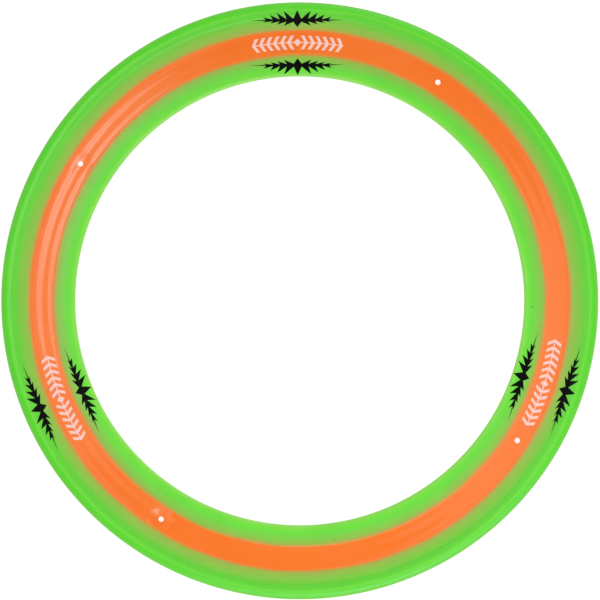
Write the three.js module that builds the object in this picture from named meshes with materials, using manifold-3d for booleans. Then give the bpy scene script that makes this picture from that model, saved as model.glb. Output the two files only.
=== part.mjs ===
// Flying ring for lawn games: a rigid moulded core held between two soft moulded rims, with printed marks.
// Millimetres, +Z up. The ring lies on z = 0 with its centre on the Z axis.
// Stations round the ring are degrees clockwise from +Y, seen from above.

import * as THREE from "three";
import { mergeVertices } from "three/addons/utils/BufferGeometryUtils.js";
import Module from "manifold-3d";

const { degToRad, lerp } = THREE.MathUtils;
const wasm = await Module();
wasm.setup();

// Plan: radii of the ring's edges and of the orange band that shows between the rims
const OUTER_RADIUS = 165;
const INNER_RADIUS = 124.1;
const BAND_OUTER_RADIUS = 149.6;
const BAND_INNER_RADIUS = 135.8;

// Heights over the surface that the ring lies on
const BAND_INNER_TOP = 2.8;
const BAND_OUTER_TOP = 2.3;
const BAND_UNDERSIDE = 0.4;
const OUTER_EDGE_HEIGHT = 1.6;
const INNER_EDGE_HEIGHT = 1.6;

// Turning points of the top surface, as [radius, height]
const BAND_LEDGE = [140.6, 2.55];
const BAND_LOW = [147.4, 2.2];
const LIP_FOOT = [155, 3.05];
const LIP_CREST = [159.3, 4];
const BEAD_CREST = [128, 3.3];

// The annular feet under the rims, the only places that touch the ground
const OUTER_FOOT = { inner: 153.5, outer: 162 };
const INNER_FOOT = { inner: 126.6, outer: 132 };

// The core's tongues, which taper away inside the rims
const TONGUE_OUTER_RADIUS = 156.8;
const TONGUE_INNER_RADIUS = 128.6;
const TONGUE_STEP = 0.35;
const TONGUE_TIP_LOW = 1.1;
const TONGUE_TIP_HIGH = 1.7;
const MOULD_GAP = 0.1;

// How far the rubber stands proud of the band, and how wide its rounded edge is
const RUBBER_STEP = 0.12;
const RUBBER_ROUND = 0.25;

// The locating-pin holes through the core, each in the middle of a low mound
const PIN_CIRCLE_RADIUS = 142.9;
const PIN_RADIUS = 1.5;
const PIN_STATIONS = [32.3, 122.7, 212.4, 302];
const MOUND_RADIUS = 6;
const MOUND_FLAT_RADIUS = 2.8;
const MOUND_TOP = 2.65;

// Printed marks: three stations, each with a dark motif on both rims and a pale chevron row on the band
const MARK_STATIONS = [-0.5, 108.7, 247.6];
const INK_GAP = 0.05;
const INK_THICKNESS = 0.12;
const MOTIF = {
  halfLength: 26,
  rise: 5.6,
  drop: 3.8,
  diamondHalfWidth: 2.2,
  spineHalfWidth: 0.9,
  thorns: 4,
  thornPitch: 3.8,
  thornLean: 1.5,
  thornRise: 5.2,
  thornDrop: 3,
  thornTaper: 0.22,
};
const OUTER_MOTIF_RADIUS = 155;
const INNER_MOTIF_RADIUS = 130.2;
const CHEVRONS = {
  perSide: 6,
  pitch: 3.9,
  stroke: 1.8,
  sweep: 2.2,
  halfHeight: 3.8,
  lineHalfWidth: 0.3,
  diamondHalfHeight: 2.3,
};
const CHEVRON_ROW_RADIUS = 142.8;

// Fineness of the faceted surfaces
const ROUND = 0.5523; // where a quarter round's Bezier handles end, as a share of its radius
const RING_SEGMENTS = 72;
const PIN_SEGMENTS = 20;
const CURVE_STEPS = 3;
const MERGE_DISTANCE = 1e-3;
const ABOVE_EVERYTHING = 6;
const BELOW_EVERYTHING = -1;

const MATERIALS = {
  core: new THREE.MeshStandardMaterial({ color: 0xfd8339, roughness: 0.35, metalness: 0 }),
  rim: new THREE.MeshStandardMaterial({ color: 0x6ddc4c, roughness: 0.5, metalness: 0 }),
  darkInk: new THREE.MeshStandardMaterial({ color: 0x14151a, roughness: 0.55, metalness: 0 }),
  paleInk: new THREE.MeshStandardMaterial({ color: 0xffcdc3, roughness: 0.5, metalness: 0 }),
};

// ---- Outlines and solids

// Walks an outline from one [radius, height] to the next. Each stop starts with how it is reached: "line";
// "swell", an S-curve that is level at both ends; "rise", steep at first and level at the end; "over", a quarter
// round from level to upright; or "under", a quarter round from upright to level.
function walk([startRadius, startHeight], ...stops) {
  const path = new THREE.Path();
  path.moveTo(startRadius, startHeight);
  let [r0, z0] = [startRadius, startHeight];
  for (const [manner, r1, z1] of stops) {
    const middle = (r0 + r1) / 2;
    if (manner === "line") path.lineTo(r1, z1);
    if (manner === "swell") path.bezierCurveTo(middle, z0, middle, z1, r1, z1);
    if (manner === "rise") path.quadraticCurveTo(middle, z1, r1, z1);
    if (manner === "over") path.bezierCurveTo(lerp(r0, r1, ROUND), z0, r1, lerp(z1, z0, ROUND), r1, z1);
    if (manner === "under") path.bezierCurveTo(r0, lerp(z0, z1, ROUND), lerp(r1, r0, ROUND), z1, r1, z1);
    [r0, z0] = [r1, z1];
  }
  return path.getPoints(CURVE_STEPS);
}

// A body of revolution round the Z axis, from a loop of (radius, height) points listed in either direction.
function ringGeometry(outline) {
  const loop = THREE.ShapeUtils.isClockWise(outline) ? outline.toReversed() : outline;
  return new THREE.LatheGeometry([...loop, loop[0]], RING_SEGMENTS).rotateX(Math.PI / 2);
}

function toSolid(geometry) {
  const bare = geometry.clone();
  bare.deleteAttribute("normal");
  bare.deleteAttribute("uv");
  const merged = mergeVertices(bare, MERGE_DISTANCE);
  const mesh = new wasm.Mesh({
    numProp: 3,
    vertProperties: merged.getAttribute("position").array,
    triVerts: new Uint32Array(merged.index.array),
  });
  return new wasm.Manifold(mesh);
}

function toGeometry(solid) {
  const { vertProperties, triVerts } = solid.getMesh();
  const geometry = new THREE.BufferGeometry();
  geometry.setAttribute("position", new THREE.BufferAttribute(vertProperties, 3));
  geometry.setIndex(new THREE.BufferAttribute(triVerts, 1));
  geometry.computeVertexNormals();
  return geometry;
}

function piece(name, geometry, material) {
  const mesh = new THREE.Mesh(geometry, material);
  mesh.name = name;
  return mesh;
}

// ---- Moulded parts

// The band's top steps down twice on its way outwards, into a shallow trough.
function bandTop() {
  return walk(
    [BAND_INNER_RADIUS, BAND_INNER_TOP],
    ["swell", ...BAND_LEDGE],
    ["swell", ...BAND_LOW],
    ["swell", BAND_OUTER_RADIUS, BAND_OUTER_TOP],
  );
}

// Beyond the band the core steps in, above and below, and runs on as tongues that thin towards their tips.
function coreOutline() {
  return [
    ...bandTop(),
    ...walk(
      [BAND_OUTER_RADIUS, BAND_OUTER_TOP - TONGUE_STEP],
      ["line", TONGUE_OUTER_RADIUS, TONGUE_TIP_HIGH],
      ["line", TONGUE_OUTER_RADIUS, TONGUE_TIP_LOW],
      ["line", BAND_OUTER_RADIUS, BAND_UNDERSIDE + TONGUE_STEP],
      ["line", BAND_OUTER_RADIUS, BAND_UNDERSIDE],
      ["line", BAND_INNER_RADIUS, BAND_UNDERSIDE],
      ["line", BAND_INNER_RADIUS, BAND_UNDERSIDE + TONGUE_STEP],
      ["line", TONGUE_INNER_RADIUS, TONGUE_TIP_LOW],
      ["line", TONGUE_INNER_RADIUS, TONGUE_TIP_HIGH],
      ["line", BAND_INNER_RADIUS, BAND_INNER_TOP - TONGUE_STEP],
    ),
  ];
}

// An upright turned solid on its own axis, from its [radius, height] corners between two points on the axis.
function turnedSolid(...corners) {
  const outline = corners.map(([radius, height]) => new THREE.Vector2(radius, height));
  return toSolid(new THREE.LatheGeometry(outline, PIN_SEGMENTS).rotateX(Math.PI / 2));
}

function coreGeometry() {
  const mound = turnedSolid(
    [0, BAND_UNDERSIDE],
    [MOUND_RADIUS, BAND_UNDERSIDE],
    [MOUND_RADIUS, BAND_LOW[1]],
    [MOUND_FLAT_RADIUS, MOUND_TOP],
    [0, MOUND_TOP],
  );
  const hole = turnedSolid(
    [0, BELOW_EVERYTHING],
    [PIN_RADIUS, BELOW_EVERYTHING],
    [PIN_RADIUS, ABOVE_EVERYTHING],
    [0, ABOVE_EVERYTHING],
  );
  let core = toSolid(ringGeometry(coreOutline()));
  for (const station of PIN_STATIONS) {
    const angle = degToRad(station);
    const centre = [PIN_CIRCLE_RADIUS * Math.sin(angle), PIN_CIRCLE_RADIUS * Math.cos(angle), 0];
    core = core.add(mound.translate(centre)).subtract(hole.translate(centre));
  }
  return toGeometry(core);
}

// The rims' top surfaces, from the band's edge to the ring's edge: a raised lip outside, a low bead inside.
function outerRimTop() {
  const start = BAND_OUTER_RADIUS + MOULD_GAP;
  return walk(
    [start, BAND_OUTER_TOP],
    ["under", start + RUBBER_ROUND, BAND_OUTER_TOP + RUBBER_STEP],
    ["rise", ...LIP_FOOT],
    ["swell", ...LIP_CREST],
    ["over", OUTER_RADIUS, OUTER_EDGE_HEIGHT],
  );
}

function innerRimTop() {
  const start = BAND_INNER_RADIUS - MOULD_GAP;
  return walk(
    [start, BAND_INNER_TOP],
    ["under", start - RUBBER_ROUND, BAND_INNER_TOP + RUBBER_STEP],
    ["rise", ...BEAD_CREST],
    ["over", INNER_RADIUS, INNER_EDGE_HEIGHT],
  );
}

// The rest of a rim's outline: round its edge, across its foot, and into the groove that holds a tongue.
function rimUnderside({ edge, edgeHeight, footEdge, footEnd, face, groove, faceTop }) {
  return walk(
    [edge, edgeHeight],
    ["under", footEdge, 0],
    ["line", footEnd, 0],
    ["swell", face, BAND_UNDERSIDE],
    ["line", face, BAND_UNDERSIDE + TONGUE_STEP - MOULD_GAP],
    ["line", groove, TONGUE_TIP_LOW - MOULD_GAP],
    ["line", groove, TONGUE_TIP_HIGH + MOULD_GAP],
    ["line", face, faceTop - TONGUE_STEP + MOULD_GAP],
  ).slice(1);
}

function outerRimGeometry() {
  const underside = rimUnderside({
    edge: OUTER_RADIUS,
    edgeHeight: OUTER_EDGE_HEIGHT,
    footEdge: OUTER_FOOT.outer,
    footEnd: OUTER_FOOT.inner,
    face: BAND_OUTER_RADIUS + MOULD_GAP,
    groove: TONGUE_OUTER_RADIUS + MOULD_GAP,
    faceTop: BAND_OUTER_TOP,
  });
  return ringGeometry([...outerRimTop(), ...underside]);
}

function innerRimGeometry() {
  const underside = rimUnderside({
    edge: INNER_RADIUS,
    edgeHeight: INNER_EDGE_HEIGHT,
    footEdge: INNER_FOOT.inner,
    footEnd: INNER_FOOT.outer,
    face: BAND_INNER_RADIUS - MOULD_GAP,
    groove: TONGUE_INNER_RADIUS - MOULD_GAP,
    faceTop: BAND_INNER_TOP,
  });
  return ringGeometry([...innerRimTop(), ...underside]);
}

// ---- Printed marks

// Completes a symmetric figure from its upper and lower right-hand edges, listed from the middle outwards.
function symmetricFigure(upper, lower) {
  const right = [...upper, ...lower.toReversed()];
  const left = right.slice(1, -1).toReversed();
  return [...right, ...left.map(([along, across]) => [-along, across])];
}

// One edge of the motif: half a diamond, then outward-leaning thorns that shrink along a tapering spine.
function motifEdge(diamondHeight, thornHeight) {
  const { halfLength, diamondHalfWidth, spineHalfWidth, thorns, thornPitch, thornLean, thornTaper } = MOTIF;
  const spineAt = (along) => spineHalfWidth * (1 - along / halfLength) * Math.sign(thornHeight);
  const edge = [
    [0, diamondHeight],
    [diamondHalfWidth, spineAt(diamondHalfWidth)],
  ];
  for (let thorn = 0; thorn < thorns; thorn++) {
    const foot = diamondHalfWidth + (thorn + 1) * thornPitch;
    edge.push([foot + thornLean, thornHeight * (1 - thornTaper * thorn)]);
    edge.push([foot, spineAt(foot)]);
  }
  return edge;
}

function motifFigure() {
  const upper = motifEdge(MOTIF.rise, MOTIF.thornRise);
  const lower = motifEdge(-MOTIF.drop, -MOTIF.thornDrop);
  return symmetricFigure([...upper, [MOTIF.halfLength, 0]], lower);
}

// One edge of the chevron row: a centre diamond and chevrons that point outwards along a fine line.
function chevronEdge(side) {
  const { perSide, pitch, stroke, sweep, halfHeight, lineHalfWidth, diamondHalfHeight } = CHEVRONS;
  const slope = sweep / halfHeight;
  const edge = [
    [0, side * diamondHalfHeight],
    [stroke, side * lineHalfWidth],
  ];
  for (let chevron = 0; chevron < perSide; chevron++) {
    const notch = stroke + sweep + chevron * pitch;
    edge.push([notch - slope * lineHalfWidth, side * lineHalfWidth]);
    edge.push([notch - sweep, side * halfHeight]);
    edge.push([notch - sweep + stroke, side * halfHeight]);
    edge.push([notch - slope * lineHalfWidth + stroke, side * lineHalfWidth]);
  }
  return edge;
}

function chevronFigure() {
  const { perSide, pitch, stroke, sweep } = CHEVRONS;
  const tip = stroke + sweep + (perSide - 1) * pitch + stroke;
  return symmetricFigure([...chevronEdge(1), [tip, 0]], chevronEdge(-1));
}

// Places a flat figure straight at a station, its middle at that radius. side -1 turns it to face inwards.
function straightAt(figure, radius, station, side) {
  const angle = degToRad(station);
  const middle = new THREE.Vector2(0, 0);
  return figure.map(([along, across]) =>
    new THREE.Vector2(side * along, radius + side * across).rotateAround(middle, -angle),
  );
}

// Places a figure bent round the ring at that radius.
function bentAt(figure, radius, station) {
  const angle = degToRad(station);
  return figure.map(([along, across]) => {
    const turned = angle + along / radius;
    return new THREE.Vector2(Math.sin(turned), Math.cos(turned)).multiplyScalar(radius + across);
  });
}

// A film of ink in the shape of the outline, lying just over a rim's or the band's top surface.
function inkGeometry(outline, surface) {
  const raised = (height) => surface.map(({ x, y }) => new THREE.Vector2(x, y + height));
  const section = [...raised(INK_GAP), ...raised(INK_GAP + INK_THICKNESS).reverse()];
  const film = toSolid(ringGeometry(section));
  const prism = new THREE.ExtrudeGeometry(new THREE.Shape(outline), {
    depth: ABOVE_EVERYTHING,
    bevelEnabled: false,
  });
  return toGeometry(film.intersect(toSolid(prism)));
}

function printedMarks() {
  const marks = new THREE.Group();
  MARK_STATIONS.forEach((station, index) => {
    const label = index + 1;
    const outer = straightAt(motifFigure(), OUTER_MOTIF_RADIUS, station, 1);
    const inner = straightAt(motifFigure(), INNER_MOTIF_RADIUS, station, -1);
    const row = bentAt(chevronFigure(), CHEVRON_ROW_RADIUS, station);
    marks.add(piece(`outer_motif_${label}`, inkGeometry(outer, outerRimTop()), MATERIALS.darkInk));
    marks.add(piece(`inner_motif_${label}`, inkGeometry(inner, innerRimTop()), MATERIALS.darkInk));
    marks.add(piece(`chevron_row_${label}`, inkGeometry(row, bandTop()), MATERIALS.paleInk));
  });
  return marks;
}

const flyingRing = new THREE.Group();
flyingRing.add(piece("core_ring", coreGeometry(), MATERIALS.core));
flyingRing.add(piece("outer_rim", outerRimGeometry(), MATERIALS.rim));
flyingRing.add(piece("inner_rim", innerRimGeometry(), MATERIALS.rim));
flyingRing.add(printedMarks());

export default flyingRing;
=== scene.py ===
"""The looks of a flying ring: an orange plastic core between two soft green rims, with marks printed on top.

Sizes are in millimetres, and in metres for the floor, the lights and the camera. +Z is up and the ring lies
on z = 0.
Stations round the ring are degrees clockwise from +Y, seen from above.
"""

import math

import bmesh
import bpy
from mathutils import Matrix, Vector
from mathutils.geometry import delaunay_2d_cdt, interpolate_bezier


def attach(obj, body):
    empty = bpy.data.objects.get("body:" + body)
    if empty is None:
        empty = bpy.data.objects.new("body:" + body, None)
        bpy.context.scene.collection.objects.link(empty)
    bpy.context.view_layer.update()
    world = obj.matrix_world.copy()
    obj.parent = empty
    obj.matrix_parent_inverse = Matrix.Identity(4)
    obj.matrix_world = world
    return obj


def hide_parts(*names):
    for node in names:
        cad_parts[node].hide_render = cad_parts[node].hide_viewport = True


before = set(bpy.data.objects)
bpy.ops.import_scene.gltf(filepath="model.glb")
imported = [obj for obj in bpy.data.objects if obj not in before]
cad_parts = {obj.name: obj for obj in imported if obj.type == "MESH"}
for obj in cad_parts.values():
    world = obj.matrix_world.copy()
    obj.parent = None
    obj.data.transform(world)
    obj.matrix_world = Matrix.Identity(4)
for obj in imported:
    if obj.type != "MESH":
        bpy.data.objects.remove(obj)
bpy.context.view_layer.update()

MM = 0.001


def reach(node):
    """The smallest and the largest distance of a CAD node's corners from the ring's axis."""
    radii = [math.hypot(v.co.x, v.co.y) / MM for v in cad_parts[node].data.vertices]
    return min(radii), max(radii)


# Plan: radii taken from the frame, and the band that shows between the rims
TONGUE_INNER_RADIUS, TONGUE_OUTER_RADIUS = reach("core_ring")
INNER_RADIUS, BAND_INNER_RADIUS = reach("inner_rim")
BAND_OUTER_RADIUS, OUTER_RADIUS = reach("outer_rim")
SEAM = 0.02

# Heights over the ground
BAND_INNER_TOP = 2.86
BAND_OUTER_TOP = 2.3
BAND_UNDERSIDE = 0.4
OUTER_EDGE_HEIGHT = 1.6
INNER_EDGE_HEIGHT = 1.6

# Turning points of the top surface, as (radius, height)
BAND_SHOULDER = (136.1, 2.8)
BAND_LEDGE = (140.6, 2.55)
BAND_LOW = (147.4, 2.2)
LIP_FOOT = (155, 3.05)
LIP_CREST = (159.3, 4)
BEAD_CREST = (128, 3.3)

# The feet under the rims, each from its free side to the band's side, and the tongues inside the rims
OUTER_FOOT = (162, 153.5)
INNER_FOOT = (126.6, 132)
TONGUE_STEP = 0.35
TONGUE_TIP_LOW = 1.1
TONGUE_TIP_HIGH = 1.7

# The rubber stands a little proud of the band, and has a moulded seam round its free edge
RUBBER_STEP = 0.12
RUBBER_ROUND = 0.25
SEAM_BEAD_HEIGHT = 0.3
SEAM_BEAD_REACH = 0.08

# The locating-pin holes, each in a low mound with its own height
PIN_CIRCLE_RADIUS = 142.9
PIN_RADIUS = 1.5
PIN_SEGMENTS = 48
CUTTER_DEPTH = 10
CUTTER_MIDDLE = 2
PIN_STATIONS = (32.3, 122.7, 212.4, 302)
MOUND_HEIGHTS = (0.1, 0.12, 0.74, 0.16)
MOUND_TOP_RADIUS = 2
MOUND_FOOT_RADIUS = 8

# The mounds lift what is higher than this: the band's top, and not the outer tongue or the underside
LIFTED_ABOVE = 2.06

# Printed marks
MARK_STATIONS = (-0.5, 108.7, 247.6)
INK_GAP = 0.02
INK_THICKNESS = 0.03
INK_GRID = 0.8
OUTER_MOTIF_RADIUS = 155
INNER_MOTIF_RADIUS = 130.2
CHEVRON_ROW_RADIUS = 142.8
MOTIF_HALF_LENGTH = 26
MOTIF_RISE = 5.6
MOTIF_DROP = 3.8
DIAMOND_HALF_WIDTH = 2.2
SPINE_HALF_WIDTH = 0.9
THORNS = 4
THORN_PITCH = 3.8
THORN_LEAN = 1.5
THORN_RISE = 5.2
THORN_DROP = 3
THORN_TAPER = 0.22
CHEVRONS_PER_SIDE = 6
CHEVRON_PITCH = 3.9
CHEVRON_STROKE = 1.8
CHEVRON_SWEEP = 2.2
CHEVRON_HALF_HEIGHT = 3.8
CHEVRON_LINE = 0.3
CHEVRON_DIAMOND_HALF_HEIGHT = 2.3

# Patterns drawn out along the ring, as (waves a turn, waves a millimetre across)
EDGE_WAVES = (40, 0.15)
FLOW_WAVES = (14, 0.9)
RELIEF_WAVES = (6, 1.1)
BLOTCH_WAVES = (30, 0.45)

# How far the colours' edges wander either way, and between which levels of their pattern
EDGE_WANDER = 0.6
EDGE_RANGE = (0.2, 0.8)

# Patterns that are the same every way, in waves a millimetre
PLASTIC_PATCHES = 0.03
PLASTIC_GRAIN = 2.2
RUBBER_CLOUDS = 0.06
RUBBER_SPECKS = 0.45
RUBBER_GRAIN = 3.5
INK_WEAR = 0.9
INK_GRAIN = 4.0

# Where each pattern starts and stops to bring in its own colour, then the colour's share at either end
FLOW_SHARE = (0.35, 0.65, 0, 0.1)
PATCH_SHARE = (0.4, 0.65, 0, 0.08)
# The walls' share darkens upright faces, such as the pin holes' walls: painted shade.
WALL_SHADE_SHARE = (0.3, 0.8, 0.8, 0)
BLOTCH_SHARE = (0.43, 0.65, 0, 0.42)
CLOUD_SHARE = (0.35, 0.7, 0, 0.16)
SPECK_SHARE = (0.76, 0.8, 0, 0.5)
WEAR_SHARE = (0.52, 0.75, 0, 0.5)

# Those colours
FLOW_COLOUR = "#ff6a2c"
PATCH_COLOUR = "#ff9a5c"
# The walls' colour is a painted shade, for the shadow inside the pin holes.
WALL_SHADE_COLOUR = "#7a3a18"
BLOTCH_COLOUR = "#a6a65c"
CLOUD_COLOUR = "#4fc832"
SPECK_COLOUR = "#4d8a2c"

# Roughness, from the grain's low places to its high ones
GRAIN_RANGE = (0.3, 0.7)
PLASTIC_ROUGHNESS = (0.08, 0.15)
RUBBER_ROUGHNESS = (0.28, 0.4)
INK_ROUGHNESS_RANGE = 0.05

# Heights of the fine relief in the materials, and the grain's share of the plastic's
PLASTIC_RELIEF = 0.02
PLASTIC_GRAIN_SHARE = 0.1
RUBBER_RELIEF = 0.012
INK_RELIEF = 0.004

# The rubber's blotches are full up to the first distance from the pin circle, and gone at the second
BLOTCHES_FULL = 7
BLOTCHES_GONE = 14

# Setting: places in metres, the lens and the sensor in millimetres
FLOOR_HALF_WIDTH = 8
CAMERA_PLACE = (0.00014, 0.00046, 1.8445)
CAMERA_LENS = 200
CAMERA_SENSOR = 36

# The sky's strength, dim up to the first angle from straight above and bright from the second
SKY_DIM = 0.1
SKY_BRIGHT = 0.7
SKY_DIM_TO = 26
SKY_BRIGHT_FROM = 36

# Fineness
ROUND = 0.5523  # where a quarter round's Bezier handles end, as a share of its radius
CURVE_POINTS = 14
TURN_STEP = 1.0
FINE_TURN_STEP = 0.2
FINE_TURN_REACH = 3.6
SHARP_ANGLE = math.radians(32)
FIGURE_INSIDE = 1  # the triangulation keeps only the inside of a figure
FIGURE_TOLERANCE = 1e-4

# ---- Outlines


def mix(a, b, share):
    return a + (b - a) * share


def walk(start, *stops):
    """Walks an outline from one (radius, height) to the next. Each stop starts with how it is reached:
    "line"; "swell", level at both ends; "rise", steep at first and level at the end; "over", a quarter
    round from level to upright; or "under", a quarter round from upright to level."""
    points = [start]
    for manner, r1, z1 in stops:
        r0, z0 = points[-1]
        handles = {
            "swell": ((mix(r0, r1, 0.5), z0), (mix(r0, r1, 0.5), z1)),
            "rise": ((mix(r0, r1, 1 / 3), mix(z0, z1, 2 / 3)), (mix(r0, r1, 2 / 3), z1)),
            "over": ((mix(r0, r1, ROUND), z0), (r1, mix(z1, z0, ROUND))),
            "under": ((r0, mix(z0, z1, ROUND)), (mix(r1, r0, ROUND), z1)),
        }.get(manner)
        if handles:
            curve = interpolate_bezier((r0, z0), *handles, (r1, z1), CURVE_POINTS)
            points += [(p[0], p[1]) for p in curve[1:]]
        else:
            points.append((r1, z1))
    return points


def band_top():
    return walk(
        (BAND_INNER_RADIUS, BAND_INNER_TOP),
        ("swell", *BAND_SHOULDER),
        ("swell", *BAND_LEDGE),
        ("swell", *BAND_LOW),
        ("swell", BAND_OUTER_RADIUS, BAND_OUTER_TOP),
    )


def outer_rim_top():
    start = BAND_OUTER_RADIUS + SEAM
    return walk(
        (start, BAND_OUTER_TOP),
        ("under", start + RUBBER_ROUND, BAND_OUTER_TOP + RUBBER_STEP),
        ("rise", *LIP_FOOT),
        ("swell", *LIP_CREST),
        ("over", OUTER_RADIUS, OUTER_EDGE_HEIGHT + SEAM_BEAD_HEIGHT / 2),
    )


def inner_rim_top():
    start = BAND_INNER_RADIUS - SEAM
    return walk(
        (start, BAND_INNER_TOP),
        ("under", start - RUBBER_ROUND, BAND_INNER_TOP + RUBBER_STEP),
        ("rise", *BEAD_CREST),
        ("over", INNER_RADIUS, INNER_EDGE_HEIGHT + SEAM_BEAD_HEIGHT / 2),
    )


def core_outline():
    tongues = walk(
        (BAND_OUTER_RADIUS, BAND_OUTER_TOP - TONGUE_STEP),
        ("line", TONGUE_OUTER_RADIUS, TONGUE_TIP_HIGH),
        ("line", TONGUE_OUTER_RADIUS, TONGUE_TIP_LOW),
        ("line", BAND_OUTER_RADIUS, BAND_UNDERSIDE + TONGUE_STEP),
        ("line", BAND_OUTER_RADIUS, BAND_UNDERSIDE),
        ("line", BAND_INNER_RADIUS, BAND_UNDERSIDE),
        ("line", BAND_INNER_RADIUS, BAND_UNDERSIDE + TONGUE_STEP),
        ("line", TONGUE_INNER_RADIUS, TONGUE_TIP_LOW),
        ("line", TONGUE_INNER_RADIUS, TONGUE_TIP_HIGH),
        ("line", BAND_INNER_RADIUS, BAND_INNER_TOP - TONGUE_STEP),
    )
    return band_top() + tongues


def rim_outline(top, foot, tongue_radius, outward):
    """A rim's whole outline: its top, the bead on its free edge, its foot, and the tongue's groove."""
    edge, bead_top = top[-1]
    face, face_top = top[0]
    groove = tongue_radius + outward * SEAM
    around = walk(
        (edge + outward * SEAM_BEAD_REACH, bead_top - SEAM_BEAD_HEIGHT / 2),
        ("line", edge, bead_top - SEAM_BEAD_HEIGHT),
        ("under", foot[0], 0),
        ("line", foot[1], 0),
        ("swell", face, BAND_UNDERSIDE),
        ("line", face, BAND_UNDERSIDE + TONGUE_STEP - SEAM),
        ("line", groove, TONGUE_TIP_LOW - SEAM),
        ("line", groove, TONGUE_TIP_HIGH + SEAM),
        ("line", face, face_top - TONGUE_STEP + SEAM),
    )
    return top + around


def height_at(surface, radius):
    """The height of a top surface, given as points in order of radius either way, at a radius."""
    points = sorted(surface)
    for (r0, z0), (r1, z1) in zip(points, points[1:]):
        if r0 <= radius <= r1 and r1 > r0:
            return mix(z0, z1, (radius - r0) / (r1 - r0))
    return points[0][1] if radius < points[0][0] else points[-1][1]


def place(radius, turn, height):
    """The point at a radius, at an angle clockwise from +Y, and at a height, turned into metres."""
    return Vector((radius * math.sin(turn), radius * math.cos(turn), height)) * MM


def mound_at(x, y):
    """How far the mounds lift the band at a point. They are level at the top and at the foot."""
    total = 0
    for station, height in zip(PIN_STATIONS, MOUND_HEIGHTS):
        pin = place(PIN_CIRCLE_RADIUS, math.radians(station), 0) / MM
        away = math.hypot(x - pin.x, y - pin.y)
        share = (away - MOUND_TOP_RADIUS) / (MOUND_FOOT_RADIUS - MOUND_TOP_RADIUS)
        share = min(max(share, 0), 1)
        total += height * (1 - share) ** 2 * (1 + 2 * share)
    return total


# ---- Meshes


def finish_mesh(name, mesh, material, slot, *nodes):
    """Makes the mesh a shown piece that stands for those CAD nodes."""
    mesh.shade_smooth()
    mesh.set_sharp_from_angle(angle=SHARP_ANGLE)
    piece = bpy.data.objects.new(name, mesh)
    bpy.context.scene.collection.objects.link(piece)
    mesh.materials.append(material)
    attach(piece, "root")
    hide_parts(*nodes)
    return piece


def turns_round(fine_stations=()):
    """Angles round the ring, closer together near the given stations."""
    degrees = {round(TURN_STEP * k, 3) for k in range(round(360 / TURN_STEP))}
    steps = round(FINE_TURN_REACH / FINE_TURN_STEP)
    for station in fine_stations:
        degrees |= {round(station + FINE_TURN_STEP * k, 3) % 360 for k in range(-steps, steps + 1)}
    return [math.radians(d) for d in sorted(degrees)]


def ring_mesh(name, outline, turns, lift=None):
    """A body of revolution from a loop of (radius, height). lift(x, y), if given, raises its upper side."""
    verts = []
    for turn in turns:
        for radius, height in outline:
            point = place(radius, turn, height)
            if lift and height >= LIFTED_ABOVE:
                point.z += lift(point.x / MM, point.y / MM) * MM
            verts.append(point)
    across = len(outline)
    faces = []
    for i in range(len(turns)):
        here = i * across
        there = (i + 1) % len(turns) * across
        for j in range(across):
            k = (j + 1) % across
            faces.append((here + j, here + k, there + k, there + j))
    mesh = bpy.data.meshes.new(name)
    mesh.from_pydata(verts, [], faces)
    shape = bmesh.new()
    shape.from_mesh(mesh)
    bmesh.ops.recalc_face_normals(shape, faces=shape.faces)
    shape.to_mesh(mesh)
    shape.free()
    return mesh


def pin_cutter():
    """One mesh of four upright pins."""
    shape = bmesh.new()
    for station in PIN_STATIONS:
        made = bmesh.ops.create_cone(
            shape,
            cap_ends=True,
            segments=PIN_SEGMENTS,
            radius1=PIN_RADIUS * MM,
            radius2=PIN_RADIUS * MM,
            depth=CUTTER_DEPTH * MM,
        )
        middle = place(PIN_CIRCLE_RADIUS, math.radians(station), CUTTER_MIDDLE)
        bmesh.ops.translate(shape, verts=made["verts"], vec=middle)
    mesh = bpy.data.meshes.new("pins")
    shape.to_mesh(mesh)
    shape.free()
    cutter = bpy.data.objects.new("pins", mesh)
    bpy.context.scene.collection.objects.link(cutter)
    return cutter


def cut(mesh, cutter):
    """The mesh with the cutter's shape taken out. The cutter is used up."""
    body = bpy.data.objects.new("body", mesh)
    bpy.context.scene.collection.objects.link(body)
    boolean = body.modifiers.new("cut", "BOOLEAN")
    boolean.operation = "DIFFERENCE"
    boolean.solver = "EXACT"
    boolean.object = cutter
    bpy.context.view_layer.update()
    evaluated = body.evaluated_get(bpy.context.evaluated_depsgraph_get())
    result = bpy.data.meshes.new_from_object(evaluated)
    bpy.data.objects.remove(body)
    bpy.data.objects.remove(cutter)
    return result


# ---- Printed figures


def symmetric_figure(upper, lower):
    """Completes a figure from its upper and lower right-hand edges, listed from the middle outwards."""
    right = upper + lower[::-1]
    return right + [(-along, across) for along, across in right[-2:0:-1]]


def motif_edge(diamond_height, thorn_height):
    """Half a diamond, then outward-leaning thorns that shrink along a tapering spine."""

    def spine(along):
        return math.copysign(SPINE_HALF_WIDTH * (1 - along / MOTIF_HALF_LENGTH), thorn_height)

    edge = [(0, diamond_height), (DIAMOND_HALF_WIDTH, spine(DIAMOND_HALF_WIDTH))]
    for thorn in range(THORNS):
        foot = DIAMOND_HALF_WIDTH + (thorn + 1) * THORN_PITCH
        edge.append((foot + THORN_LEAN, thorn_height * (1 - THORN_TAPER * thorn)))
        edge.append((foot, spine(foot)))
    return edge


def motif_figure():
    upper = motif_edge(MOTIF_RISE, THORN_RISE) + [(MOTIF_HALF_LENGTH, 0)]
    return symmetric_figure(upper, motif_edge(-MOTIF_DROP, -THORN_DROP))


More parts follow.
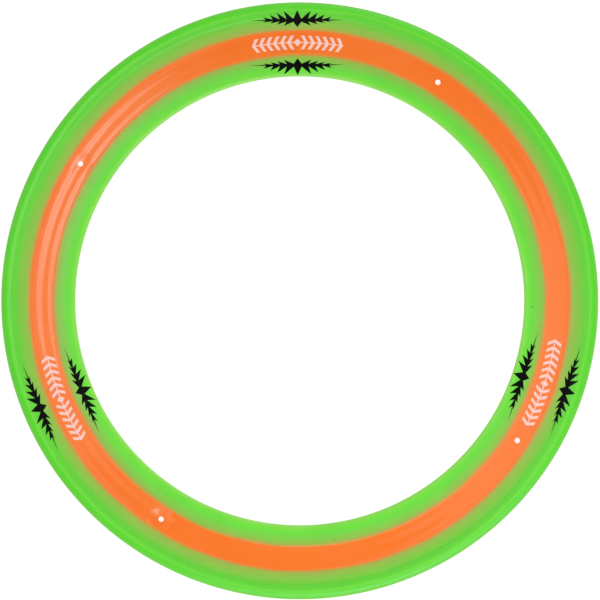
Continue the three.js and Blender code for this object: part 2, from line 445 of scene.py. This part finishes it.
def chevron_edge(side):
    """A centre diamond, then chevrons that point outwards along a fine line."""
    slope = CHEVRON_SWEEP / CHEVRON_HALF_HEIGHT
    edge = [(0, side * CHEVRON_DIAMOND_HALF_HEIGHT), (CHEVRON_STROKE, side * CHEVRON_LINE)]
    for chevron in range(CHEVRONS_PER_SIDE):
        notch = CHEVRON_STROKE + CHEVRON_SWEEP + chevron * CHEVRON_PITCH
        edge.append((notch - slope * CHEVRON_LINE, side * CHEVRON_LINE))
        edge.append((notch - CHEVRON_SWEEP, side * CHEVRON_HALF_HEIGHT))
        edge.append((notch - CHEVRON_SWEEP + CHEVRON_STROKE, side * CHEVRON_HALF_HEIGHT))
        edge.append((notch - slope * CHEVRON_LINE + CHEVRON_STROKE, side * CHEVRON_LINE))
    return edge


def chevron_figure():
    tip = 2 * CHEVRON_STROKE + CHEVRON_SWEEP + (CHEVRONS_PER_SIDE - 1) * CHEVRON_PITCH
    return symmetric_figure(chevron_edge(1) + [(tip, 0)], chevron_edge(-1))


def straight_at(radius, station, side):
    """Places figure points straight at a station. side -1 turns the figure to face inwards."""
    turn = math.radians(station)

    def to_plan(along, across):
        out, right = radius + side * across, side * along
        x = out * math.sin(turn) + right * math.cos(turn)
        y = out * math.cos(turn) - right * math.sin(turn)
        return Vector((x, y))

    return to_plan


def bent_at(radius, station):
    """Places figure points bent round the ring."""

    def to_plan(along, across):
        turn = math.radians(station) + along / radius
        return Vector((math.sin(turn), math.cos(turn))) * (radius + across)

    return to_plan


def split_edges(figure):
    """The outline with points added, so that its edges can follow a curved surface."""
    points = []
    for (a0, c0), (a1, c1) in zip(figure, figure[1:] + figure[:1]):
        count = max(1, math.ceil(math.hypot(a1 - a0, c1 - c0) / INK_GRID))
        points += [(mix(a0, a1, k / count), mix(c0, c1, k / count)) for k in range(count)]
    return points


def grid_over(figure):
    """Grid points over the figure's box."""
    along = [a for a, _ in figure]
    across = [c for _, c in figure]
    columns = math.floor((max(along) - min(along)) / INK_GRID)
    rows = math.floor((max(across) - min(across)) / INK_GRID)
    return [
        (min(along) + (i + 0.5) * INK_GRID, min(across) + (j + 0.5) * INK_GRID)
        for i in range(columns)
        for j in range(rows)
    ]


def ink_mesh(name, figure, to_plan, surface):
    """A film of ink over the surface, in the figure's shape."""
    outline = split_edges(figure)
    plan = [to_plan(*point) for point in outline + grid_over(figure)]
    rim = list(range(len(outline)))
    flat, _, faces, *_ = delaunay_2d_cdt(plan, [], [rim], FIGURE_INSIDE, FIGURE_TOLERANCE)
    shape = bmesh.new()
    for height in (INK_GAP, INK_GAP + INK_THICKNESS):
        layer = []
        for p in flat:
            top = height_at(surface, p.length) + mound_at(p.x, p.y) + height
            layer.append(shape.verts.new((p.x * MM, p.y * MM, top * MM)))
        for face in faces:
            corners = [layer[i] for i in face]
            shape.faces.new(corners if height > INK_GAP else corners[::-1])
    shape.verts.ensure_lookup_table()
    shape.verts.index_update()
    count = len(flat)
    for edge in [e for e in shape.edges if e.is_boundary]:
        low = [v.index for v in edge.verts]
        if max(low) < count:
            first, second = (shape.verts[i] for i in low)
            above_first, above_second = (shape.verts[i + count] for i in low)
            shape.faces.new((first, second, above_second, above_first))
    loose = [v for v in shape.verts if not v.link_faces]
    bmesh.ops.delete(shape, geom=loose, context="VERTS")
    bmesh.ops.recalc_face_normals(shape, faces=shape.faces)
    mesh = bpy.data.meshes.new(name)
    shape.to_mesh(mesh)
    shape.free()
    return mesh


# ---- Materials


def colour(hex_code):
    """A linear RGBA from an sRGB hex code."""
    channels = [int(hex_code[i : i + 2], 16) / 255 for i in (1, 3, 5)]
    return [*(c / 12.92 if c <= 0.04045 else ((c + 0.055) / 1.055) ** 2.4 for c in channels), 1]


def set_inputs(tree, made, inputs):
    """Sets a node's inputs, from a socket's name or number to a value, or to the socket that feeds it."""
    for key, value in inputs.items():
        if isinstance(value, bpy.types.NodeSocket):
            tree.links.new(value, made.inputs[key])
        else:
            made.inputs[key].default_value = value


def node(tree, kind, inputs=None, **settings):
    """Adds a node with those inputs."""
    made = tree.nodes.new(kind)
    for key, value in settings.items():
        setattr(made, key, value)
    set_inputs(tree, made, inputs or {})
    return made


def new_material(name):
    """A material with only a Principled shader. Returns the material, its tree and the shader."""
    material = bpy.data.materials.new(name)
    material.use_nodes = True
    tree = material.node_tree
    return material, tree, tree.nodes["Principled BSDF"]


def millimetres(tree):
    """The surface point in millimetres."""
    point = node(tree, "ShaderNodeTexCoord").outputs["Object"]
    scaled = node(tree, "ShaderNodeVectorMath", {0: point, 1: (1 / MM,) * 3}, operation="MULTIPLY")
    return scaled.outputs[0]


def radius_of(tree, point):
    """The point's distance from the ring's axis, and the point brought down to z = 0."""
    flat = node(tree, "ShaderNodeVectorMath", {0: point, 1: (1, 1, 0)}, operation="MULTIPLY").outputs[0]
    return node(tree, "ShaderNodeVectorMath", {0: flat}, operation="LENGTH").outputs["Value"], flat


def ring_coordinates(tree, radius, flat, waves):
    """Coordinates in which a pattern is drawn out along the ring."""
    around, across = waves
    direction = node(tree, "ShaderNodeVectorMath", {0: flat}, operation="NORMALIZE").outputs[0]
    scaling = {0: direction, "Scale": around / math.tau}
    wide = node(tree, "ShaderNodeVectorMath", scaling, operation="SCALE").outputs[0]
    height = node(tree, "ShaderNodeMath", {0: radius, 1: across}, operation="MULTIPLY").outputs[0]
    upright = node(tree, "ShaderNodeCombineXYZ", {"Z": height}).outputs[0]
    return node(tree, "ShaderNodeVectorMath", {0: wide, 1: upright}, operation="ADD").outputs[0]


def noise(tree, vector, scale, detail, roughness=0.5):
    inputs = {"Vector": vector, "Scale": scale, "Detail": detail, "Roughness": roughness}
    return node(tree, "ShaderNodeTexNoise", inputs).outputs["Fac"]


def spread(tree, value, low, high, to_low, to_high):
    """Maps low..high to to_low..to_high, and holds it there outside."""
    inputs = {"Value": value, "From Min": low, "From Max": high, "To Min": to_low, "To Max": to_high}
    return node(tree, "ShaderNodeMapRange", inputs, clamp=True).outputs["Result"]


def mix_colours(tree, share, first, second):
    """first and second are sockets or linear colours."""
    return node(tree, "ShaderNodeMix", {0: share, 6: first, 7: second}, data_type="RGBA").outputs[2]


def wandering(tree, radius, flat):
    """The radius, made to wander a little along the ring, as the feathered edge of the rubber does."""
    wander = noise(tree, ring_coordinates(tree, radius, flat, EDGE_WAVES), 1.0, 3)
    shift = spread(tree, wander, *EDGE_RANGE, -EDGE_WANDER, EDGE_WANDER)
    return node(tree, "ShaderNodeMath", {0: radius, 1: shift}, operation="ADD").outputs[0]


def radial_colours(tree, radius, stops):
    """Colours by radius, from (radius, hex code) in rising order."""
    first, last = stops[0][0], stops[-1][0]
    ramp = node(tree, "ShaderNodeValToRGB", {"Fac": spread(tree, radius, first, last, 0, 1)})
    elements = ramp.color_ramp.elements
    for index, (at, hex_code) in enumerate(stops):
        position = (at - first) / (last - first)
        element = elements[index] if index < 2 else elements.new(position)
        element.position = position
        element.color = colour(hex_code)
    return ramp.outputs["Color"]


def bump(tree, height, distance):
    """The normal of a surface with a fine relief, distance millimetres high where height is 1."""
    inputs = {"Height": height, "Distance": distance * MM, "Strength": 1}
    return node(tree, "ShaderNodeBump", inputs).outputs["Normal"]


def core_material():
    """Glossy moulded plastic with faint flow lines, edges that the rubber feathers over, and upright walls
    darkened with painted shade, as in the shadowed pin holes.
    """
    material, tree, shader = new_material("orange_plastic")
    point = millimetres(tree)
    radius, flat = radius_of(tree, point)
    by_radius = radial_colours(
        tree,
        wandering(tree, radius, flat),
        [
            (BAND_INNER_RADIUS - 0.6, "#bcac40"),
            (BAND_INNER_RADIUS, "#d2a244"),
            (BAND_INNER_RADIUS + 0.5, "#f08c38"),
            (BAND_INNER_RADIUS + 1.1, "#fc7e2e"),
            (BAND_LEDGE[0], "#fe7b2a"),
            (BAND_OUTER_RADIUS - 1.2, "#fc7a2a"),
            (BAND_OUTER_RADIUS - 0.5, "#e8903a"),
            (BAND_OUTER_RADIUS, "#c8a440"),
            (BAND_OUTER_RADIUS + 0.6, "#b0b042"),
        ],
    )
    flow = noise(tree, ring_coordinates(tree, radius, flat, FLOW_WAVES), 1.0, 3)
    patches = noise(tree, point, PLASTIC_PATCHES, 2)
    flowed = mix_colours(tree, spread(tree, flow, *FLOW_SHARE), by_radius, colour(FLOW_COLOUR))
    patched = mix_colours(tree, spread(tree, patches, *PATCH_SHARE), flowed, colour(PATCH_COLOUR))
    # Painted shade: upright faces, such as the pin holes' walls, are mixed towards a dark colour as if in
    # shadow.
    normal = node(tree, "ShaderNodeNewGeometry").outputs["Normal"]
    upward = node(tree, "ShaderNodeSeparateXYZ", {0: normal}).outputs["Z"]
    level = node(tree, "ShaderNodeMath", {0: upward}, operation="ABSOLUTE").outputs[0]
    wall_shaded = mix_colours(tree, spread(tree, level, *WALL_SHADE_SHARE), patched, colour(WALL_SHADE_COLOUR))
    grain = noise(tree, point, PLASTIC_GRAIN, 3)
    lines = noise(tree, ring_coordinates(tree, radius, flat, RELIEF_WAVES), 1.0, 2)
    parts = {0: grain, 1: PLASTIC_GRAIN_SHARE, 2: lines}
    relief = node(tree, "ShaderNodeMath", parts, operation="MULTIPLY_ADD").outputs[0]
    looks = {
        "Base Color": wall_shaded,
        "Roughness": spread(tree, grain, *GRAIN_RANGE, *PLASTIC_ROUGHNESS),
        "Normal": bump(tree, relief, PLASTIC_RELIEF),
    }
    set_inputs(tree, shader, looks)
    return material


def rubber_material(name, stops):
    """Soft rubber, hazy and mottled where the core shows through it, with clouds, specks and a fine grain."""
    material, tree, shader = new_material(name)
    point = millimetres(tree)
    radius, flat = radius_of(tree, point)
    by_radius = radial_colours(tree, wandering(tree, radius, flat), stops)
    ends = {0: radius, 1: PIN_CIRCLE_RADIUS}
    outward = node(tree, "ShaderNodeMath", ends, operation="SUBTRACT").outputs[0]
    distance = node(tree, "ShaderNodeMath", {0: outward}, operation="ABSOLUTE").outputs[0]
    near_band = spread(tree, distance, BLOTCHES_FULL, BLOTCHES_GONE, 1, 0)
    streaks = noise(tree, ring_coordinates(tree, radius, flat, BLOTCH_WAVES), 1.0, 4, 0.6)
    blotches = spread(tree, streaks, *BLOTCH_SHARE)
    blotch_share = node(tree, "ShaderNodeMath", {0: blotches, 1: near_band}, operation="MULTIPLY").outputs[0]
    blotched = mix_colours(tree, blotch_share, by_radius, colour(BLOTCH_COLOUR))
    clouds = spread(tree, noise(tree, point, RUBBER_CLOUDS, 3), *CLOUD_SHARE)
    clouded = mix_colours(tree, clouds, blotched, colour(CLOUD_COLOUR))
    specks = spread(tree, noise(tree, point, RUBBER_SPECKS, 1), *SPECK_SHARE)
    speckled = mix_colours(tree, specks, clouded, colour(SPECK_COLOUR))
    grain = noise(tree, point, RUBBER_GRAIN, 3)
    looks = {
        "Base Color": speckled,
        "Roughness": spread(tree, grain, *GRAIN_RANGE, *RUBBER_ROUGHNESS),
        "Normal": bump(tree, grain, RUBBER_RELIEF),
    }
    set_inputs(tree, shader, looks)
    return material


def ink_material(name, solid, worn, roughness):
    """Pad-printed ink, a little thin in places."""
    material, tree, shader = new_material(name)
    point = millimetres(tree)
    thin = spread(tree, noise(tree, point, INK_WEAR, 4, 0.6), *WEAR_SHARE)
    grain = noise(tree, point, INK_GRAIN, 2)
    smoothest, roughest = roughness - INK_ROUGHNESS_RANGE, roughness + INK_ROUGHNESS_RANGE
    looks = {
        "Base Color": mix_colours(tree, thin, colour(solid), colour(worn)),
        "Roughness": spread(tree, grain, *GRAIN_RANGE, smoothest, roughest),
        "Specular IOR Level": 0.1,
        "Normal": bump(tree, grain, INK_RELIEF),
    }
    set_inputs(tree, shader, looks)
    return material


# ---- The ring


def build_core(material):
    mesh = ring_mesh("orange_core", core_outline(), turns_round(PIN_STATIONS), lift=mound_at)
    finish_mesh("orange_core", cut(mesh, pin_cutter()), material, "core_plastic", "core_ring")


def build_rims():
    outer = rubber_material(
        "outer_rubber",
        [
            (BAND_OUTER_RADIUS - 0.6, "#ea8e3a"),
            (BAND_OUTER_RADIUS, "#c8a440"),
            (BAND_OUTER_RADIUS + 0.8, "#aab442"),
            (BAND_OUTER_RADIUS + 1.8, "#96c040"),
            (BAND_OUTER_RADIUS + 4, "#87c73e"),
            (BAND_OUTER_RADIUS + 6, "#76cc34"),
            (BAND_OUTER_RADIUS + 7.4, "#62d329"),
            (LIP_CREST[0], "#60d62c"),
            # A painted highlight: this lighter stop just outside the lip's crest draws the lip's bright line.
            (LIP_CREST[0] + 1.2, "#72e03c"),
            (LIP_CREST[0] + 2.4, "#5cdc20"),
            (OUTER_RADIUS - 2, "#50d810"),
            (OUTER_RADIUS, "#7ccb48"),
        ],
    )
    inner = rubber_material(
        "inner_rubber",
        [
            # Painted light: the paler stops at the thin inner edge stand for light shining through the rubber
            # there.
            (INNER_RADIUS, "#92da5a"),
            (INNER_RADIUS + 1.2, "#84e048"),
            (INNER_RADIUS + 2.8, "#6ee332"),
            (INNER_RADIUS + 5, "#69de38"),
            (INNER_RADIUS + 7.2, "#7bd344"),
            (BAND_INNER_RADIUS - 2.5, "#88c942"),
            (BAND_INNER_RADIUS - 1.5, "#96c044"),
            (BAND_INNER_RADIUS - 0.7, "#b0b044"),
            (BAND_INNER_RADIUS, "#d2a244"),
            (BAND_INNER_RADIUS + 0.6, "#ea9440"),
        ],
    )
    turns = turns_round()
    outer_outline = rim_outline(outer_rim_top(), OUTER_FOOT, TONGUE_OUTER_RADIUS, 1)
    inner_outline = rim_outline(inner_rim_top(), INNER_FOOT, TONGUE_INNER_RADIUS, -1)
    outer_mesh = ring_mesh("green_outer_rim", outer_outline, turns)
    inner_mesh = ring_mesh("green_inner_rim", inner_outline, turns)
    finish_mesh("green_outer_rim", outer_mesh, outer, "rim_rubber", "outer_rim")
    finish_mesh("green_inner_rim", inner_mesh, inner, "rim_rubber", "inner_rim")


def build_marks():
    dark = ink_material("black_print", "#020203", "#0c0d0d", 0.4)
    pale = ink_material("pink_print", "#ffd0c6", "#ffb8a4", 0.35)
    for index, station in enumerate(MARK_STATIONS):
        label = index + 1
        marks = (
            ("outer_motif", motif_figure(), straight_at(OUTER_MOTIF_RADIUS, station, 1), outer_rim_top()),
            ("inner_motif", motif_figure(), straight_at(INNER_MOTIF_RADIUS, station, -1), inner_rim_top()),
            ("chevron_row", chevron_figure(), bent_at(CHEVRON_ROW_RADIUS, station), band_top()),
        )
        for kind, figure, to_plan, surface in marks:
            name = f"{kind}_ink_{label}"
            material, slot = (pale, "pale_ink") if kind == "chevron_row" else (dark, "dark_ink")
            mesh = ink_mesh(name, figure, to_plan, surface)
            finish_mesh(name, mesh, material, slot, f"{kind}_{label}")


# ---- Setting


def floor():
    """A floor that gives off light of its own, so that it is near white and the ring's shadow is faint."""
    shape = bmesh.new()
    bmesh.ops.create_grid(shape, x_segments=1, y_segments=1, size=FLOOR_HALF_WIDTH)
    mesh = bpy.data.meshes.new("floor")
    shape.to_mesh(mesh)
    shape.free()
    ground = bpy.data.objects.new("floor", mesh)
    bpy.context.scene.collection.objects.link(ground)
    material, tree, shader = new_material("pale_floor")
    looks = {
        "Base Color": (0.3, 0.3, 0.3, 1),
        "Roughness": 0.9,
        "Specular IOR Level": 0.1,
        "Emission Color": (1, 1, 0.99, 1),
        "Emission Strength": 0.85,
    }
    set_inputs(tree, shader, looks)
    mesh.materials.append(material)


def softbox(name, station, tilt, distance, width, length, radiance):
    """An elliptical light that faces the ring's middle, tilt degrees from straight above towards a station.
    Its length points towards the place right above the ring. Its radiance doesn't depend on its size."""
    data = bpy.data.lights.new(name, "AREA")
    data.shape = "ELLIPSE"
    data.size = width
    data.size_y = length
    data.energy = radiance * math.pi * math.pi / 4 * width * length
    light = bpy.data.objects.new(name, data)
    turn, lean = math.radians(station), math.radians(tilt)
    way = Vector((math.sin(turn) * math.sin(lean), math.cos(turn) * math.sin(lean), math.cos(lean)))
    light.location = way * distance
    light.rotation_euler = way.to_track_quat("Z", "Y").to_euler()
    light.visible_camera = False
    bpy.context.scene.collection.objects.link(light)


def sky():
    """A bright tent, dim round the opening straight above that the camera looks through."""
    world = bpy.data.worlds.new("tent")
    bpy.context.scene.world = world
    world.use_nodes = True
    tree = world.node_tree
    direction = node(tree, "ShaderNodeTexCoord").outputs["Generated"]
    up = node(tree, "ShaderNodeSeparateXYZ", {0: direction}).outputs["Z"]
    bright_from, dim_to = (math.cos(math.radians(angle)) for angle in (SKY_BRIGHT_FROM, SKY_DIM_TO))
    shade = spread(tree, up, bright_from, dim_to, SKY_BRIGHT, SKY_DIM)
    background = tree.nodes["Background"]
    background.inputs["Color"].default_value = (1, 1, 1, 1)
    tree.links.new(shade, background.inputs["Strength"])


def camera():
    """Straight above the ring's middle, within half a millimetre, and far enough for a long lens."""
    data = bpy.data.cameras.new("camera")
    data.lens = CAMERA_LENS
    data.sensor_width = CAMERA_SENSOR
    view = bpy.data.objects.new("camera", data)
    view.location = CAMERA_PLACE
    bpy.context.scene.collection.objects.link(view)
    bpy.context.scene.camera = view


def lights():
    """The two keys make the streaks on the band and the line on the lip, and the rest light the rims."""
    softbox("key", station=292, tilt=18.2, distance=1.6, width=0.8, length=0.17, radiance=3.1)
    softbox("key_heart", station=296, tilt=18.2, distance=1.59, width=0.3, length=0.17, radiance=2)
    softbox("right", station=108, tilt=19, distance=1.7, width=0.72, length=1.05, radiance=0.88)
    softbox("left", station=278, tilt=19, distance=1.7, width=0.82, length=1.05, radiance=0.82)
    softbox("front", station=165, tilt=46, distance=1.15, width=1.2, length=0.4, radiance=3.9)
    softbox("back", station=25, tilt=58, distance=1.8, width=1.5, length=0.9, radiance=1.7)


build_core(core_material())
build_rims()
build_marks()
floor()
sky()
lights()
camera()

bpy.context.scene.view_settings.view_transform = "Standard"
bpy.context.scene.view_settings.look = "None"
